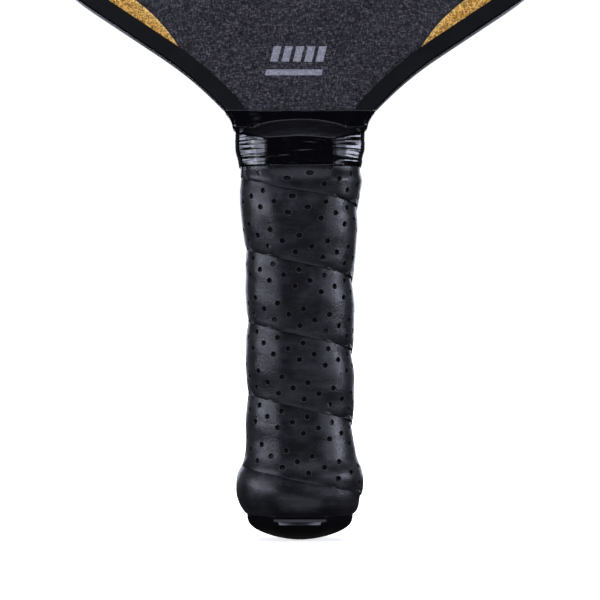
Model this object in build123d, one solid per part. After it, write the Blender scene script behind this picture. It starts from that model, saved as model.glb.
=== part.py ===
from build123d import *

import math
import os

# A pickleball paddle: a honeycomb panel between two skins, an edge guard round the blade, and an
# eight-sided handle built up with a pallet on each side of the panel's tang. Millimetres.
# X runs across the blade, Z up from the butt to the top edge, and the front face looks along -Y.

# Overall
LENGTH = 400.0
WIDTH = 203.0

# Panel layers, from the middle outwards
CORE_THICKNESS = 13.0
VEIL_THICKNESS = 0.15
SKIN_THICKNESS = 0.5
FILM_THICKNESS = 0.15
VEIL_TOP = CORE_THICKNESS / 2 + VEIL_THICKNESS
SKIN_TOP = VEIL_TOP + SKIN_THICKNESS

# Honeycomb
CELL_FLATS = 12.0
CELL_WALL = 0.4
RIM_WALL = 0.9
SMALLEST_CELL_AREA = 6.0

# Edge guard, a channel that closes over the panel's edge
GUARD_WEB = 1.2
GUARD_LIP = 0.95
GUARD_LIP_WIDTH = 5.4
GUARD_ROUND = 1.1
GUARD_END_Z = 134.0
FILM_GAP = 0.2

# Panel outline, as half widths, heights and angles above the horizontal
HANDLE_HALF = 15.6
TANG_END_Z = 6.0
FLARE_Z = 88.0
FLARE_TOP_Z = 117.0
FLARE_SLOPE = 0.083
NECK_HALF, NECK_FOOT_Z, NECK_Z = 20.1, 127.0, 137.3
NECK_ANGLE = 45.0
NECK_RUN = 21.6
SHOULDER_ANGLE = 33.5
TOP_CROWN = 5.0
FLARE_RADIUS = 150.0
WAIST_RADIUS = 12.0
NECK_RADIUS = 13.0
THROAT_RADIUS = 113.0
SHOULDER_RADIUS = 74.0
TOP_RADIUS = 62.0

# Handle pallets: flat towards the panel, with bevelled sides and a bevelled arch at the top
PALLET_DEPTH = 5.85
BEVEL_RUN = 7.0
PALLET_TOP_Z = 131.5
PALLET_ARCH_Z = 137.0
PALLET_CORNER = 8.0
PALLET_WALL = 1.6
RIB_THICKNESS = 1.4
RIB_COUNT = 7

# Butt cap: heights, and how far the cap stands out from the handle there
CAP_FLARE = ((8.5, 1.5), (13.0, 2.2), (18.0, 3.2), (23.0, 2.5), (27.5, 1.2), (32.0, 0.6))
CAP_END_LEVELS = (0.0, 0.6, 1.7, 3.4, 5.6)
CAP_END_TIP = 0.35
CAP_CORNER = 3.0
CAP_POCKET = (20.0, 16.0, 3.0)

# Staples that hold the butt cap to the pallets
STAPLE_Z = 20.0
STAPLE_CROWN = 10.0
STAPLE_WIRE = 0.7
STAPLE_LEG = 7.0
STAPLE_DEPTH = 14.8

# Grip and tapes
GRIP_THICKNESS = 1.7
GRIP_END_Z, GRIP_TOP_Z = 8.6, 121.5
TAPE_THICKNESS = 0.35
TAPE_SEAM_Z, TAPE_TOP_Z = 132.0, 139.8

FAR = 500.0

# When the handle's faces all move out by one unit, its upright bevel corners move this far in Y
BEVEL_LEAN = math.atan2(BEVEL_RUN, PALLET_DEPTH)
CORNER_SHARE = math.tan(BEVEL_LEAN / 2)


def symmetric_face(half, arch=None):
    """A face through the points (x, z) of half and their mirror images, closed by a line or by an arc
    whose middle is at the height arch."""
    right = [Vector(x, z) for x, z in half]
    left = [Vector(-x, z) for x, z in half]
    edges = Polyline(*left[::-1], *right)
    top = ThreePointArc(right[-1], (0, arch), left[-1]) if arch else Line(right[-1], left[-1])
    return make_face(edges + top)


def round_corners(face, corners):
    """The face with the corner nearest to each (x, z) and to its mirror image rounded by its radius."""
    for x, z, radius in corners:
        pair = [face.vertices().sort_by_distance((side * x, z, 0))[0] for side in (-1, 1)]
        face = fillet(pair, radius)
    return face


def flared_half(z):
    """The handle's half width at a height above the start of its flare."""
    return HANDLE_HALF + (z - FLARE_Z) * FLARE_SLOPE


def panel_outline():
    """Tang, throat and blade as one face, without the edge guard."""
    blade_half = WIDTH / 2 - GUARD_WEB
    neck, shoulder = math.radians(NECK_ANGLE), math.radians(SHOULDER_ANGLE)
    throat_x = NECK_HALF + NECK_RUN * math.cos(neck)
    throat_z = NECK_Z + NECK_RUN * math.sin(neck)
    shoulder_z = throat_z + (blade_half - throat_x) * math.tan(shoulder)
    arch_z = LENGTH - GUARD_WEB
    half = [
        (HANDLE_HALF, TANG_END_Z),
        (HANDLE_HALF, FLARE_Z),
        (flared_half(FLARE_TOP_Z), FLARE_TOP_Z),
        (NECK_HALF, NECK_FOOT_Z),
        (NECK_HALF, NECK_Z),
        (throat_x, throat_z),
        (blade_half, shoulder_z),
        (blade_half, arch_z - TOP_CROWN),
    ]
    radii = [FLARE_RADIUS, WAIST_RADIUS, WAIST_RADIUS, NECK_RADIUS, THROAT_RADIUS]
    radii += [SHOULDER_RADIUS, TOP_RADIUS]
    corners = [(x, z, radius) for (x, z), radius in zip(half[1:], radii)]
    return round_corners(symmetric_face(half, arch_z), corners)


def pallet_outline():
    """The foot of a handle pallet, where it is glued to the panel; it runs on below the tang's end."""
    half = [
        (HANDLE_HALF, TANG_END_Z - 2 * BEVEL_RUN),
        (HANDLE_HALF, FLARE_Z),
        (flared_half(PALLET_TOP_Z), PALLET_TOP_Z),
    ]
    corners = [(*half[1], FLARE_RADIUS), (*half[2], PALLET_CORNER)]
    return round_corners(symmetric_face(half, PALLET_ARCH_Z), corners)


def slab(outline, low, high):
    """The outline made solid from low to high, measured from the panel's middle plane to the front."""
    return extrude(Plane.XZ.offset(low) * outline, high - low, clean=False)


def through(outline, half_thickness):
    """The outline made solid on both sides of the panel's middle plane."""
    return slab(outline, -half_thickness, half_thickness)


def level(low, high):
    """A block that spans everything between two heights."""
    middle = Pos(0, 0, (low + high) / 2)
    return middle * Box(FAR, FAR, high - low)


def pallet_foot(grow):
    """The pallet's outline moved out by grow, or in where grow is negative."""
    return offset(pallet_outline(), grow, kind=Kind.INTERSECTION) if grow else pallet_outline()


def pallet_block(grow, low, high):
    """A block between two heights over the panel's middle plane, with sides that lean in like the
    handle's bevels. Its foot is the pallet's outline moved out by grow."""
    run = (high - low) * math.tan(BEVEL_LEAN)
    foot = Plane.XZ.offset(low) * pallet_foot(grow)
    top = Plane.XZ.offset(high) * pallet_foot(grow - run)
    return loft([foot, top], ruled=True)


def handle_bar(grow=0.0):
    """The whole eight-sided handle with its faces moved out by grow."""
    corner = SKIN_TOP + grow * CORNER_SHARE
    front = pallet_block(grow, corner, SKIN_TOP + PALLET_DEPTH + grow)
    return through(pallet_foot(grow), corner) + front + mirror(front, about=Plane.XZ)


def octagon(grow, scale=1.0):
    """A level section of the butt cap, standing out from the handle by grow."""
    half = (HANDLE_HALF + grow) * scale
    side = (SKIN_TOP + grow * CORNER_SHARE) * scale
    top = (SKIN_TOP + PALLET_DEPTH + grow) * scale
    flat = half - (top - side) * math.tan(BEVEL_LEAN)
    right = [(flat, -top), (half, -side), (half, side), (flat, top)]
    left = [(-x, -y) for x, y in right]
    face = make_face(Polyline(*right, *left, close=True))
    return fillet(face.vertices(), CAP_CORNER * scale)


def butt_knob(grow=0.0):
    """The butt cap's outside: a rounded end that turns into a flared skirt."""
    rim_z, rim = CAP_FLARE[0]
    sections = []
    for z in CAP_END_LEVELS:
        drop = (rim_z - z) / rim_z
        rounding = CAP_END_TIP + (1 - CAP_END_TIP) * math.sqrt(1 - drop * drop)
        sections.append(Pos(0, 0, z - grow) * octagon(rim + grow, rounding))
    sections += [Pos(0, 0, z) * octagon(stand + grow) for z, stand in CAP_FLARE]
    return loft(sections)


def honeycomb(outline):
    """The core's face: six-sided cells in staggered rows, cut off at a thin rim."""
    open_area = offset(outline, -RIM_WALL).face()
    pitch = CELL_FLATS + CELL_WALL
    row_height = pitch * math.sqrt(3) / 2
    reach = CELL_FLATS / math.sqrt(3)
    columns = math.ceil(WIDTH / 2 / pitch) + 1
    cells = []
    for row in range(math.ceil(LENGTH / row_height)):
        for column in range(-columns, columns):
            centre = Vector((column + 0.5 * (row % 2)) * pitch, row * row_height)
            spokes = [centre + Vector(0, reach).rotate(Axis.Z, 60 * k) for k in range(6)]
            inside = [open_area.is_inside(corner) for corner in spokes]
            if not any(inside):
                continue
            cell = Face(Wire.make_polygon(spokes, close=True))
            if all(inside):
                cells.append(cell)
                continue
            cut = (Sketch() + cell) & open_area
            cells += [piece for piece in cut.faces() if piece.area > SMALLEST_CELL_AREA]
    return Face(outline.face().outer_wire(), [cell.outer_wire() for cell in cells])


def guard_channel(outline):
    """The edge guard: a channel over the panel's edge, open at the neck."""
    rim = fillet_long_edges(through(offset(outline, GUARD_WEB), SKIN_TOP + GUARD_LIP))
    window = through(offset(outline, GUARD_WEB - GUARD_LIP_WIDTH), FAR)
    channel = rim - window - through(outline, SKIN_TOP)
    return channel & level(GUARD_END_Z, FAR)


def fillet_long_edges(rim):
    """The solid with the edges of its front and back faces rounded."""
    faces = rim.faces().filter_by(Axis.Y)
    edges = [edge for face in faces for edge in face.edges()]
    return fillet(edges, GUARD_ROUND)


def film_outline(outline):
    """The printed film fills the window of the edge guard down to the throat tape."""
    window = offset(outline, GUARD_WEB - GUARD_LIP_WIDTH - FILM_GAP)
    blade = Pos(0, (TAPE_TOP_Z + FAR) / 2) * Rectangle(FAR, FAR - TAPE_TOP_Z)
    return window & Pos(0, FILM_GAP / 2) * blade


def staple():
    """A wire staple driven through the butt cap's front into the pallet."""
    crown = Pos(0, -STAPLE_DEPTH, STAPLE_Z) * Box(STAPLE_CROWN, STAPLE_WIRE, STAPLE_WIRE)
    leg_y = STAPLE_DEPTH - STAPLE_WIRE / 2 - STAPLE_LEG / 2
    leg = Box(STAPLE_WIRE, STAPLE_LEG, STAPLE_WIRE)
    reach = (STAPLE_CROWN - STAPLE_WIRE) / 2
    return crown + [Pos(side * reach, -leg_y, STAPLE_Z) * leg for side in (-1, 1)]


def staple_slot():
    """The way in for the staple's crown, from the cap's surface to the crown."""
    length = FAR / 10
    return Pos(0, -STAPLE_DEPTH - length / 2, STAPLE_Z) * Box(STAPLE_CROWN, length, STAPLE_WIRE)


def handle_pallet(staple_front):
    """A moulded pallet, hollow towards the panel, with cross ribs."""
    top = SKIN_TOP + PALLET_DEPTH
    block = pallet_block(0.0, SKIN_TOP, top) - level(-FAR, TANG_END_Z)
    hollow = pallet_block(-PALLET_WALL, SKIN_TOP, top - PALLET_WALL)
    hollow -= level(-FAR, TANG_END_Z + PALLET_WALL)
    pitch = (PALLET_TOP_Z - TANG_END_Z) / (RIB_COUNT + 1)
    for rib in range(1, RIB_COUNT + 1):
        hollow -= Pos(0, 0, TANG_END_Z + rib * pitch) * Box(FAR, FAR, RIB_THICKNESS)
    return block - hollow - staple_front


def butt_cap(staples):
    """The butt cap: a cup over the end of the tang and pallets, with a pocket in its floor."""
    width, depth, height = CAP_POCKET
    pocket = Pos(0, 0, TANG_END_Z - height / 2) * Box(width, depth, height)
    handle = handle_bar() - level(-FAR, TANG_END_Z)
    front_slot = staple_slot()
    slots = front_slot + mirror(front_slot, about=Plane.XZ)
    return butt_knob() - handle - pocket - slots - staples


def grip_wrap(panel, handle, knob):
    """The cushion grip as one plain sleeve from the butt to the finishing tape."""
    sleeve = handle_bar(GRIP_THICKNESS) + butt_knob(GRIP_THICKNESS)
    return (sleeve & level(GRIP_END_Z, GRIP_TOP_Z)) - handle - knob - through(panel, SKIN_TOP)


def finishing_tape(panel, handle):
    """Tape round the top of the handle, over the grip's end."""
    over_panel = through(offset(panel, TAPE_THICKNESS), SKIN_TOP + TAPE_THICKNESS)
    cover = handle_bar(TAPE_THICKNESS) + over_panel
    return (cover & level(GRIP_TOP_Z, TAPE_SEAM_Z)) - handle - through(panel, SKIN_TOP)


def throat_tape(panel, handle, guard):
    """Tape across the throat, over the ends of the edge guard."""
    spread = offset(panel, GUARD_WEB + TAPE_THICKNESS)
    over_guard = through(spread, SKIN_TOP + GUARD_LIP + TAPE_THICKNESS)
    cover = handle_bar(TAPE_THICKNESS) + over_guard
    return (cover & level(TAPE_SEAM_Z, TAPE_TOP_Z)) - handle - through(panel, SKIN_TOP) - guard


def sub_parts():
    """Every sub-part by name."""
    panel = panel_outline()
    film = film_outline(panel)
    handle, knob = handle_bar(), butt_knob()
    guard = guard_channel(panel)
    front_staple = staple()
    staples = front_staple + mirror(front_staple, about=Plane.XZ)
    layers = {
        "core_veil": slab(panel, CORE_THICKNESS / 2, VEIL_TOP),
        "face_skin": slab(panel, VEIL_TOP, SKIN_TOP),
        "graphic_film": slab(film, SKIN_TOP, SKIN_TOP + FILM_THICKNESS),
        "handle_pallet": handle_pallet(front_staple),
    }
    parts = {
        "honeycomb_core": through(honeycomb(panel), CORE_THICKNESS / 2),
        "edge_guard": guard,
        "butt_cap": butt_cap(staples),
        "butt_cap_staples": staples,
        "grip_wrap": grip_wrap(panel, handle, knob),
        "finishing_tape": finishing_tape(panel, handle),
        "throat_tape": throat_tape(panel, handle, guard),
    }
    for name, layer in layers.items():
        parts["front_" + name] = layer
        parts["back_" + name] = mirror(layer, about=Plane.XZ)
    return parts


os.makedirs("parts", exist_ok=True)
for name, part in sub_parts().items():
    export_step(Compound(children=part.solids()), f"parts/{name}.step")
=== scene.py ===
"""A pickleball paddle: its looks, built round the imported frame. Sizes are metres.

X runs across the blade, Z up from the butt to the top edge, and the front face looks along -Y.
"""

from dataclasses import dataclass, field
from enum import Enum
import logging
import math
from typing import Any

import bmesh
import bpy
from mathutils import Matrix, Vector, noise
import numpy as np


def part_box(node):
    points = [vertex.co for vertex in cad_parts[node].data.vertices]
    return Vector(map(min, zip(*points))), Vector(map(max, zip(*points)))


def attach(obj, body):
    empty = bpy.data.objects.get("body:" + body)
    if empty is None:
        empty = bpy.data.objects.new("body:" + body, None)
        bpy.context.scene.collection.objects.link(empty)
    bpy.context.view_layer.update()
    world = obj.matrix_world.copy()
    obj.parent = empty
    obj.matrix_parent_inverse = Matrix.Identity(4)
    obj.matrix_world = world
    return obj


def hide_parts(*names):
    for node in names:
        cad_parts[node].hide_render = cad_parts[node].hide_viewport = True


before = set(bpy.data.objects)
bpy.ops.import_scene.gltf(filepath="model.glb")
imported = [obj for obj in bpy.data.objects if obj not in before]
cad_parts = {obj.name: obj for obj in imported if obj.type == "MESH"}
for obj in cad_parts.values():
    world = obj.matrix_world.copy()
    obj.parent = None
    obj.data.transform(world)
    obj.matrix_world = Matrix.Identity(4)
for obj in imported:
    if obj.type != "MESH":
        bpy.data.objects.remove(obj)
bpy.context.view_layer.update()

MM = 0.001
BODY = "root"
Triple = tuple[float, float, float]
Colour = Triple
Array = np.ndarray

log = logging.getLogger("paddle")


# ---------------------------------------------------------------- small geometry helpers


def smooth(low: float, high: float, value: Array) -> Array:
    """A smooth step.

    Args:
        low: where the step starts.
        high: where it ends.
        value: where it is read.

    Returns:
        0 below low, 1 above high, and a smooth turn between them.
    """
    share = np.clip((value - low) / (high - low), 0.0, 1.0)
    return share * share * (3.0 - 2.0 * share)


def soft_max(first: Array, second: Array, blend: float) -> Array:
    """The larger of two heights, with the inner corner between them filled.

    Args:
        first: one height at each point.
        second: the other.
        blend: how far apart the heights are where the filling starts.

    Returns:
        The joined heights.
    """
    share = np.clip(0.5 + 0.5 * (first - second) / blend, 0.0, 1.0)
    return second + (first - second) * share + blend * share * (1.0 - share)


def ripple(points: Array, seed: float) -> Array:
    """Smooth random heights between about -1 and 1.

    Args:
        points: rows of coordinates, one unit to a ripple.
        seed: which pattern to take.

    Returns:
        One height for each row.
    """
    return np.array([noise.noise(Vector((x + seed, y - seed, z))) for x, y, z in points])


def grid_faces(rows: int, columns: int, wrap: bool = False) -> list[tuple[int, ...]]:
    """Quads over a grid of points stored row by row.

    Args:
        rows: number of rows.
        columns: number of points in a row.
        wrap: whether each row closes on itself.

    Returns:
        The faces as point numbers.
    """
    spans = columns if wrap else columns - 1
    faces = []
    for row in range(rows - 1):
        for column in range(spans):
            after = (column + 1) % columns
            low, high = row * columns, (row + 1) * columns
            faces.append((low + column, low + after, high + after, high + column))
    return faces


def grid_normals(points: Array, wrap: bool) -> Array:
    """Unit normals of a grid of points, shaped (rows, columns, 3).

    Args:
        points: the grid.
        wrap: whether each row closes on itself.

    Returns:
        One normal for each point, facing out where rows run up and columns run anticlockwise.
    """
    if wrap:
        along = np.roll(points, -1, axis=1) - np.roll(points, 1, axis=1)
    else:
        along = np.gradient(points, axis=1)
    up = np.gradient(points, axis=0)
    normals = np.cross(along, up)
    return normals / np.maximum(np.linalg.norm(normals, axis=2, keepdims=True), 1e-12)


def mesh_piece(name: str, points: Array, faces: list, sharp: float) -> bpy.types.Object:
    """A smooth-shaded mesh object.

    Args:
        name: the piece's name.
        points: rows of coordinates.
        faces: the faces as point numbers.
        sharp: edges that turn by more than this many degrees stay sharp.

    Returns:
        The linked object.
    """
    mesh = bpy.data.meshes.new(name)
    mesh.from_pydata(points.reshape(-1, 3).tolist(), [], faces)
    mesh.validate()
    mesh.shade_smooth()
    mesh.set_sharp_from_angle(angle=math.radians(sharp))
    piece = bpy.data.objects.new(name, mesh)
    bpy.context.scene.collection.objects.link(piece)
    return piece


def dress(piece: bpy.types.Object, material: bpy.types.Material) -> None:
    """Gives a piece one material all over.

    Args:
        piece: the piece.
        material: what it takes in place of any it has.
    """
    piece.data.materials.clear()
    piece.data.materials.append(material)
    for face in piece.data.polygons:
        face.material_index = 0


# ---------------------------------------------------------------- shader maths


class Wire:
    """A shader socket that takes part in arithmetic; each operator adds a Math node."""

    def __init__(self, board: "Board", socket: bpy.types.NodeSocket) -> None:
        """Keeps the socket and the board that it is on."""
        self.board = board
        self.socket = socket

    def _maths(self, operation: str, *values: Any) -> "Wire":
        """The result of one Math node."""
        sockets = dict(enumerate(values))
        return self.board.node("ShaderNodeMath", {"operation": operation}, sockets)

    def __add__(self, other: Any) -> "Wire":
        """self + other."""
        return self._maths("ADD", self, other)

    def __radd__(self, other: Any) -> "Wire":
        """other + self."""
        return self._maths("ADD", other, self)

    def __sub__(self, other: Any) -> "Wire":
        """self - other."""
        return self._maths("SUBTRACT", self, other)

    def __rsub__(self, other: Any) -> "Wire":
        """other - self."""
        return self._maths("SUBTRACT", other, self)

    def __mul__(self, other: Any) -> "Wire":
        """self * other."""
        return self._maths("MULTIPLY", self, other)

    def __rmul__(self, other: Any) -> "Wire":
        """other * self."""
        return self._maths("MULTIPLY", other, self)

    def __abs__(self) -> "Wire":
        """The size of self without its sign."""
        return self._maths("ABSOLUTE", self)

    def sine(self) -> "Wire":
        """The sine of self in radians."""
        return self._maths("SINE", self)

    def root(self) -> "Wire":
        """The square root of self."""
        return self._maths("SQRT", self)

    def least(self, other: Any) -> "Wire":
        """The smaller of self and other."""
        return self._maths("MINIMUM", self, other)

    def most(self, other: Any) -> "Wire":
        """The larger of self and other."""
        return self._maths("MAXIMUM", self, other)

    def ramp(self, low: float, high: float, start: float = 0.0, end: float = 1.0) -> "Wire":
        """start where self is low, end where it is high, with a smooth turn between them."""
        settings = {"interpolation_type": "SMOOTHSTEP"}
        return self.board.node("ShaderNodeMapRange", settings, {0: self, 1: low, 2: high, 3: start, 4: end})


class Board:
    """A node tree that nodes are added to."""

    def __init__(self, tree: bpy.types.NodeTree) -> None:
        """Keeps the tree."""
        self.tree = tree

    def add(self, kind: str, settings: dict[str, Any], sockets: dict[Any, Any]) -> bpy.types.Node:
        """Adds one node.

        Args:
            kind: the node's type.
            settings: its properties, set first.
            sockets: input values or wires by name or number.

        Returns:
            The node.
        """
        node = self.tree.nodes.new(kind)
        for name, value in settings.items():
            setattr(node, name, value)
        for name, value in sockets.items():
            self.feed(node.inputs[name], value)
        return node

    def node(self, kind: str, settings: dict[str, Any], sockets: dict[Any, Any], output: Any = 0) -> Wire:
        """One output of a new node, by name or number."""
        return Wire(self, self.add(kind, settings, sockets).outputs[output])

    def feed(self, socket: bpy.types.NodeSocket, value: Any) -> None:
        """Links a wire to an input, or sets its value.

        Args:
            socket: the input.
            value: a wire, a number, a vector, or a colour without its alpha.
        """
        if isinstance(value, Wire):
            self.tree.links.new(value.socket, socket)
        elif isinstance(value, tuple) and len(socket.default_value) == 4:
            socket.default_value = (*value, 1.0)
        else:
            socket.default_value = value


class Coating(Board):
    """One material's node tree, with its Principled shader."""

    def __init__(self, name: str) -> None:
        """Makes the material, its shader and its output.

        Args:
            name: the material's name.
        """
        self.material = bpy.data.materials.new(name)
        self.material.use_nodes = True
        super().__init__(self.material.node_tree)
        self.tree.nodes.clear()
        self.shader = self.add("ShaderNodeBsdfPrincipled", {}, {})
        self.add("ShaderNodeOutputMaterial", {}, {"Surface": Wire(self, self.shader.outputs[0])})

    def place(self) -> Wire:
        """The point on the piece, in metres."""
        return self.node("ShaderNodeTexCoord", {}, {}, "Object")

    def axes(self) -> tuple[Wire, Wire, Wire]:
        """The X, Y and Z of the point on the piece."""
        split = self.add("ShaderNodeSeparateXYZ", {}, {0: self.place()})
        return tuple(Wire(self, socket) for socket in split.outputs)

    def stretch(self, density: Triple) -> Wire:
        """The point with each axis multiplied by a number of cells to the metre."""
        settings = {"operation": "MULTIPLY"}
        return self.node("ShaderNodeVectorMath", settings, {0: self.place(), 1: Vector(density)})

    def noise(self, density: Triple, detail: float, rough: float) -> Wire:
        """Smooth random values round 0.5, with so many cells to the metre."""
        sockets = {"Vector": self.stretch(density), "Scale": 1.0, "Detail": detail, "Roughness": rough}
        return self.node("ShaderNodeTexNoise", {}, sockets)

    def cells(self, density: Triple) -> Wire:
        """The distance to the nearest of many scattered points, in cells."""
        sockets = {"Vector": self.stretch(density), "Scale": 1.0}
        return self.node("ShaderNodeTexVoronoi", {}, sockets, "Distance")

    def blend(self, share: Any, first: Any, second: Any) -> Wire:
        """A colour that goes from first to second as share goes from 0 to 1."""
        sockets = {0: share, 6: first, 7: second}
        return self.node("ShaderNodeMix", {"data_type": "RGBA"}, sockets, 2)

    def dim(self, colour: Any, share: Wire) -> Wire:
        """A colour made darker or lighter by share."""
        settings = {"operation": "SCALE"}
        return self.node("ShaderNodeVectorMath", settings, {0: colour, "Scale": share})

    def bump(self, height: Wire, depth: float, strength: float) -> None:
        """Feeds the shader's Normal with a relief whose heights are metres times depth."""
        sockets = {"Height": height, "Distance": depth, "Strength": strength}
        self.feed(self.shader.inputs["Normal"], self.node("ShaderNodeBump", {}, sockets))

    def finish(self, **sockets: Any) -> bpy.types.Material:
        """Sets the shader's own sockets.

        Args:
            sockets: values or wires; an underscore in a name stands for a space.

        Returns:
            The finished material.
        """
        for name, value in sockets.items():
            self.feed(self.shader.inputs[name.replace("_", " ")], value)
        return self.material


# ---------------------------------------------------------------- finishes


@dataclass(frozen=True)
class PrintedFilm:
    """The blade's printed film: a dark woven look with gold crescents and a silver mark."""

    base: Colour = (0.0005, 0.0004, 0.0010)
    thread: Colour = (0.090, 0.084, 0.098)
    gold: Colour = (0.76, 0.34, 0.038)
    pale_gold: Colour = (0.98, 0.64, 0.19)
    ink: Colour = (0.006, 0.005, 0.006)
    silver: Colour = (0.30, 0.30, 0.33)
    low_crescent: Triple = (83.7 * MM, 133.3 * MM, 52.0 * MM)
    high_crescent: Triple = (98.0 * MM, 400.0 * MM, 42.0 * MM)
    outline: float = 0.45 * MM
    mark_low: float = 151.2 * MM
    mark_high: float = 160.6 * MM
    mark_half: float = 9.2 * MM
    mark_lean: float = 0.25
    mark_middle: float = -2.2 * MM
    mark_edge: float = 0.12 * MM
    rule_height: float = 1.9 * MM
    bar_foot: float = 4.4 * MM
    bar_pitch: float = 3.68 * MM
    bar_gap: float = 0.55 * MM

    def crescents(self, x: Wire, z: Wire) -> Wire:
        """How far a point is inside the nearest crescent's circle.

        Args:
            x: the point's place across the blade.
            z: its height.

        Returns:
            The distance in metres, less than 0 outside.
        """
        inside = None
        for centre_x, centre_z, radius in (self.low_crescent, self.high_crescent):
            across, up = abs(x) - centre_x, z - centre_z
            depth = radius - (across * across + up * up).root()
            inside = depth if inside is None else inside.most(depth)
        return inside

    def mark(self, board: Board, x: Wire, z: Wire) -> Wire:
        """The silver mark: a row of leaning bars over a thin rule.

        Args:
            board: the film's node tree.
            x: the point's place across the blade.
            z: its height.

        Returns:
            1 on the mark and 0 off it.
        """
        edge = self.mark_edge
        lean = x - (z - self.mark_low) * self.mark_lean
        middle = lean - self.mark_middle
        row = abs(middle).ramp(self.mark_half - edge, self.mark_half, 1.0, 0.0)
        bar_low = self.mark_low + self.bar_foot
        tall = z.ramp(bar_low - edge, bar_low) * z.ramp(self.mark_high - edge, self.mark_high, 1.0, 0.0)
        sockets = {0: middle + 5.5 * self.bar_pitch, 1: self.bar_pitch / 2}
        phase = board.node("ShaderNodeMath", {"operation": "PINGPONG"}, sockets)
        bars = phase.ramp(self.bar_gap, self.bar_gap + edge)
        rule_top = self.mark_low + self.rule_height
        rule = z.ramp(self.mark_low - edge, self.mark_low) * z.ramp(rule_top - edge, rule_top, 1.0, 0.0)
        return (row * (tall * bars).most(rule)).least(1.0)

    def make(self) -> bpy.types.Material:
        """Lays out the film's nodes.

        Returns:
            The material.
        """
        board = Coating("printed_film")
        x, _, z = board.axes()
        warp = board.noise((2000.0, 0.0, 700.0), 2.0, 0.6)
        weft = board.noise((700.0, 40.0, 2000.0), 2.0, 0.6)
        speck = board.noise((2000.0, 900.0, 2000.0), 2.0, 0.6)
        cloud = board.noise((60.0, 60.0, 60.0), 3.0, 0.6)
        weave = warp * 0.34 + weft * 0.34 + speck * 0.32
        strokes = (warp.ramp(0.49, 0.57) + weft.ramp(0.49, 0.57)) * 0.30 + speck.ramp(0.48, 0.57) * 0.26
        strokes = strokes + (warp * weft * speck).ramp(0.15, 0.21) * 0.5
        share = (strokes * 0.8 + (cloud - 0.5) * 0.2).most(0.0).least(1.0)
        cloth = board.blend(share, self.base, self.thread)
        depth = self.crescents(x, z)
        grain = speck.ramp(0.38, 0.62)
        rim = depth.ramp(0.0, 1.3 * MM, 0.75, 0.0)
        leaf = board.blend((grain * 0.75 + rim).least(1.0), self.gold, self.pale_gold)
        leaf = board.dim(leaf, strokes.ramp(0.05, 0.6, 0.35, 1.0))
        inked = depth.ramp(-self.outline * 1.4, -self.outline * 0.4) * 0.85
        colour = board.blend(inked, cloth, self.ink)
        gilt = depth.ramp(-0.05 * MM, 0.15 * MM)
        colour = board.blend(gilt, colour, leaf)
        mark = self.mark(board, x, z) * strokes.ramp(0.1, 0.6, 0.6, 1.0)
        colour = board.blend(mark, colour, self.silver)
        board.bump(weave, 0.06 * MM, 0.6)
        return board.finish(
            Base_Color=colour,
            Metallic=gilt * 0.25,
            Roughness=0.62 - weave * 0.16,
            Specular_IOR_Level=0.32,
        )


@dataclass(frozen=True)
class Moulded:
    """Moulded black plastic: a fine texture, light rubs, and a share of gloss."""

    name: str
    colour: Colour
    roughness: float
    grain: float = 0.02 * MM
    scale: float = 2400.0
    specular: float = 0.4

    def make(self) -> bpy.types.Material:
        """Lays out the plastic's nodes.

        Returns:
            The material.
        """
        board = Coating(self.name)
        fine = board.noise((self.scale, self.scale, self.scale), 3.0, 0.6)
        patch = board.noise((45.0, 45.0, 45.0), 4.0, 0.6)
        scratch = board.noise((180.0, 180.0, 2600.0), 2.0, 0.5)
        rub = scratch.ramp(0.62, 0.74) * patch.ramp(0.45, 0.65)
        pale = tuple(min(1.0, part * 2.2 + 0.006) for part in self.colour)
        colour = board.blend((rub * 0.5 + patch.ramp(0.3, 0.8) * 0.25).least(1.0), self.colour, pale)
        board.bump(fine, self.grain, 0.5)
        return board.finish(
            Base_Color=colour,
            Roughness=self.roughness * (0.8 + patch * 0.4) + rub * 0.10,
            Specular_IOR_Level=self.specular,
        )


@dataclass(frozen=True)
class StretchVinyl:
    """Glossy black stretch tape, with fine pull lines round the handle."""

    colour: Colour = (0.0012, 0.0012, 0.0020)
    roughness: float = 0.10

    def make(self) -> bpy.types.Material:
        """Lays out the tape's nodes.

        Returns:
            The material.
        """
        board = Coating("stretch_vinyl")
        pull = board.noise((110.0, 110.0, 1500.0), 3.0, 0.6)
        fine = board.noise((900.0, 900.0, 2600.0), 2.0, 0.6)
        dust = board.noise((420.0, 420.0, 420.0), 4.0, 0.7)
        pale = (0.012, 0.012, 0.015)
        colour = board.blend(dust.ramp(0.55, 0.85) * 0.35, self.colour, pale)
        board.bump(pull * 0.8 + fine * 0.2, 0.10 * MM, 0.55)
        return board.finish(
            Base_Color=colour,
            Roughness=self.roughness + dust.ramp(0.4, 0.8) * 0.10,
            Specular_IOR_Level=0.55,
        )


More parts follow.
